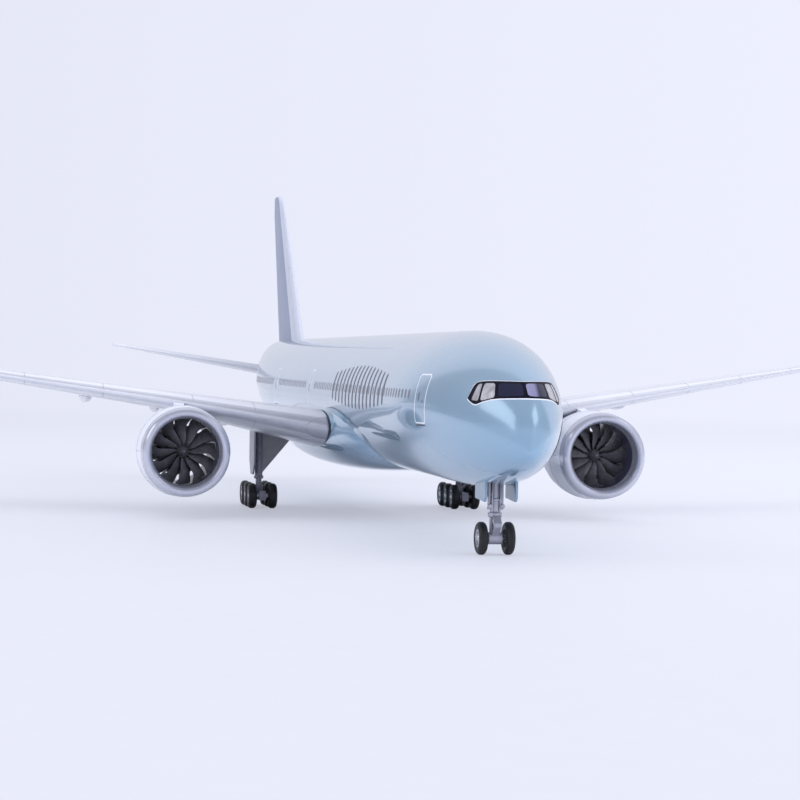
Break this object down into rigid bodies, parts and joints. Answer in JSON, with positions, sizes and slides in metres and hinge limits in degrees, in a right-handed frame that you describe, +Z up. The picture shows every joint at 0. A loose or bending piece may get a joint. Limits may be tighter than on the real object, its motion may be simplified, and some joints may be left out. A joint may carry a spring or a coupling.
{
  "type": "desktop airliner model",
  "caption": "Desk model of a wide-body twin-jet airliner on its own rolling landing gear, with fans that spin in their nacelles.",
  "frame": {"origin": "middle of the bounding box, on the surface the tyres stand on", "axes": "+X to the left (port) side, +Y aft, +Z up; the nose points along -Y"},
  "size_m": [0.4128, 0.4704, 0.1191],
  "materials": {
    "fuselage_paint": "gloss pearl blue-silver paint",
    "wing_silver": "satin silver-grey paint",
    "fin_paint": "gloss paint",
    "window_black": "gloss black",
    "nacelle_paint": "gloss pale grey",
    "lip_metal": "polished",
    "duct_dark": "satin blue-black",
    "fan_black": "gloss black",
    "core_metal": "satin burnt metal",
    "lamp_lens": "clear",
    "gear_dark": "satin dark grey",
    "gear_silver": "satin silver",
    "door_paint": "gloss pale blue",
    "hub_metal": "satin silver",
    "tyre_rubber": "matt",
    "ballast_iron": "as cast",
    "rod_steel": "drawn bar"
  },
  "bodies": {
    "airframe": {"belly_block": "fuselage_paint", "bogie_beam_left": "gear_dark", "bogie_beam_right": "gear_dark", "core_cowl_left": "core_metal", "core_cowl_right": "core_metal", "exhaust_plug_left": "core_metal", "exhaust_plug_right": "core_metal", "fan_axle_left": "rod_steel", "fan_axle_right": "rod_steel", "fin": "fin_paint", "flap_track_fairings_left": "wing_silver", "flap_track_fairings_right": "wing_silver", "flight_deck_windows": "window_black", "fuselage_left_shell": "fuselage_paint", "fuselage_right_shell": "fuselage_paint", "inlet_duct_left": "duct_dark", "inlet_duct_right": "duct_dark", "inlet_lip_left": "lip_metal", "inlet_lip_right": "lip_metal", "landing_light_lenses": "lamp_lens", "main_gear_brace_left": "gear_dark", "main_gear_brace_right": "gear_dark", "main_gear_door_left": "door_paint", "main_gear_door_right": "door_paint", "main_gear_leg_left": "gear_dark", "main_gear_leg_right": "gear_dark", "nacelle_cowl_left": "nacelle_paint", "nacelle_cowl_right": "nacelle_paint", "nose_ballast": "ballast_iron", "nose_gear_brace": "gear_silver", "nose_gear_doors": "door_paint", "nose_gear_leg": "gear_silver", "pylon_left": "nacelle_paint", "pylon_right": "nacelle_paint", "stabiliser_left": "wing_silver", "stabiliser_right": "wing_silver", "stabiliser_rod": "rod_steel", "wing_left": "wing_silver", "wing_right": "wing_silver", "wing_spar_rods": "rod_steel"},
    "fan_left": {"fan_rotor_left": "fan_black"},
    "main_wheels_left_front": {"axle_hubs_left_front": "hub_metal", "tyres_left_front": "tyre_rubber"},
    "main_wheels_left_middle": {"axle_hubs_left_middle": "hub_metal", "tyres_left_middle": "tyre_rubber"},
    "main_wheels_left_rear": {"axle_hubs_left_rear": "hub_metal", "tyres_left_rear": "tyre_rubber"},
    "fan_right": {"fan_rotor_right": "fan_black"},
    "main_wheels_right_front": {"axle_hubs_right_front": "hub_metal", "tyres_right_front": "tyre_rubber"},
    "main_wheels_right_middle": {"axle_hubs_right_middle": "hub_metal", "tyres_right_middle": "tyre_rubber"},
    "main_wheels_right_rear": {"axle_hubs_right_rear": "hub_metal", "tyres_right_rear": "tyre_rubber"},
    "nose_wheels": {"nose_axle_hubs": "hub_metal", "nose_tyres": "tyre_rubber"}
  },
  "joints": [
    {"name": "fan_left_spin", "type": "hinge", "parent": "airframe", "child": "fan_left", "pos_m": [0.06427, -0.05688, 0.02006], "axis": [0, 1, 0], "continuous": true},
    {"name": "main_left_front_roll", "type": "hinge", "parent": "airframe", "child": "main_wheels_left_front", "pos_m": [0.03376, -0.00847, 0.00408], "axis": [1, 0, 0], "continuous": true},
    {"name": "main_left_middle_roll", "type": "hinge", "parent": "airframe", "child": "main_wheels_left_middle", "pos_m": [0.03376, 0.00096, 0.00408], "axis": [1, 0, 0], "continuous": true},
    {"name": "main_left_rear_roll", "type": "hinge", "parent": "airframe", "child": "main_wheels_left_rear", "pos_m": [0.03376, 0.01038, 0.00408], "axis": [1, 0, 0], "continuous": true},
    {"name": "fan_right_spin", "type": "hinge", "parent": "airframe", "child": "fan_right", "pos_m": [-0.06427, -0.05688, 0.02006], "axis": [0, 1, 0], "continuous": true},
    {"name": "main_right_front_roll", "type": "hinge", "parent": "airframe", "child": "main_wheels_right_front", "pos_m": [-0.03376, -0.00847, 0.00408], "axis": [1, 0, 0], "continuous": true},
    {"name": "main_right_middle_roll", "type": "hinge", "parent": "airframe", "child": "main_wheels_right_middle", "pos_m": [-0.03376, 0.00096, 0.00408], "axis": [1, 0, 0], "continuous": true},
    {"name": "main_right_rear_roll", "type": "hinge", "parent": "airframe", "child": "main_wheels_right_rear", "pos_m": [-0.03376, 0.01038, 0.00408], "axis": [1, 0, 0], "continuous": true},
    {"name": "nose_wheels_roll", "type": "hinge", "parent": "airframe", "child": "nose_wheels", "pos_m": [0, -0.19955, 0.00408], "axis": [1, 0, 0], "continuous": true}
  ]
}
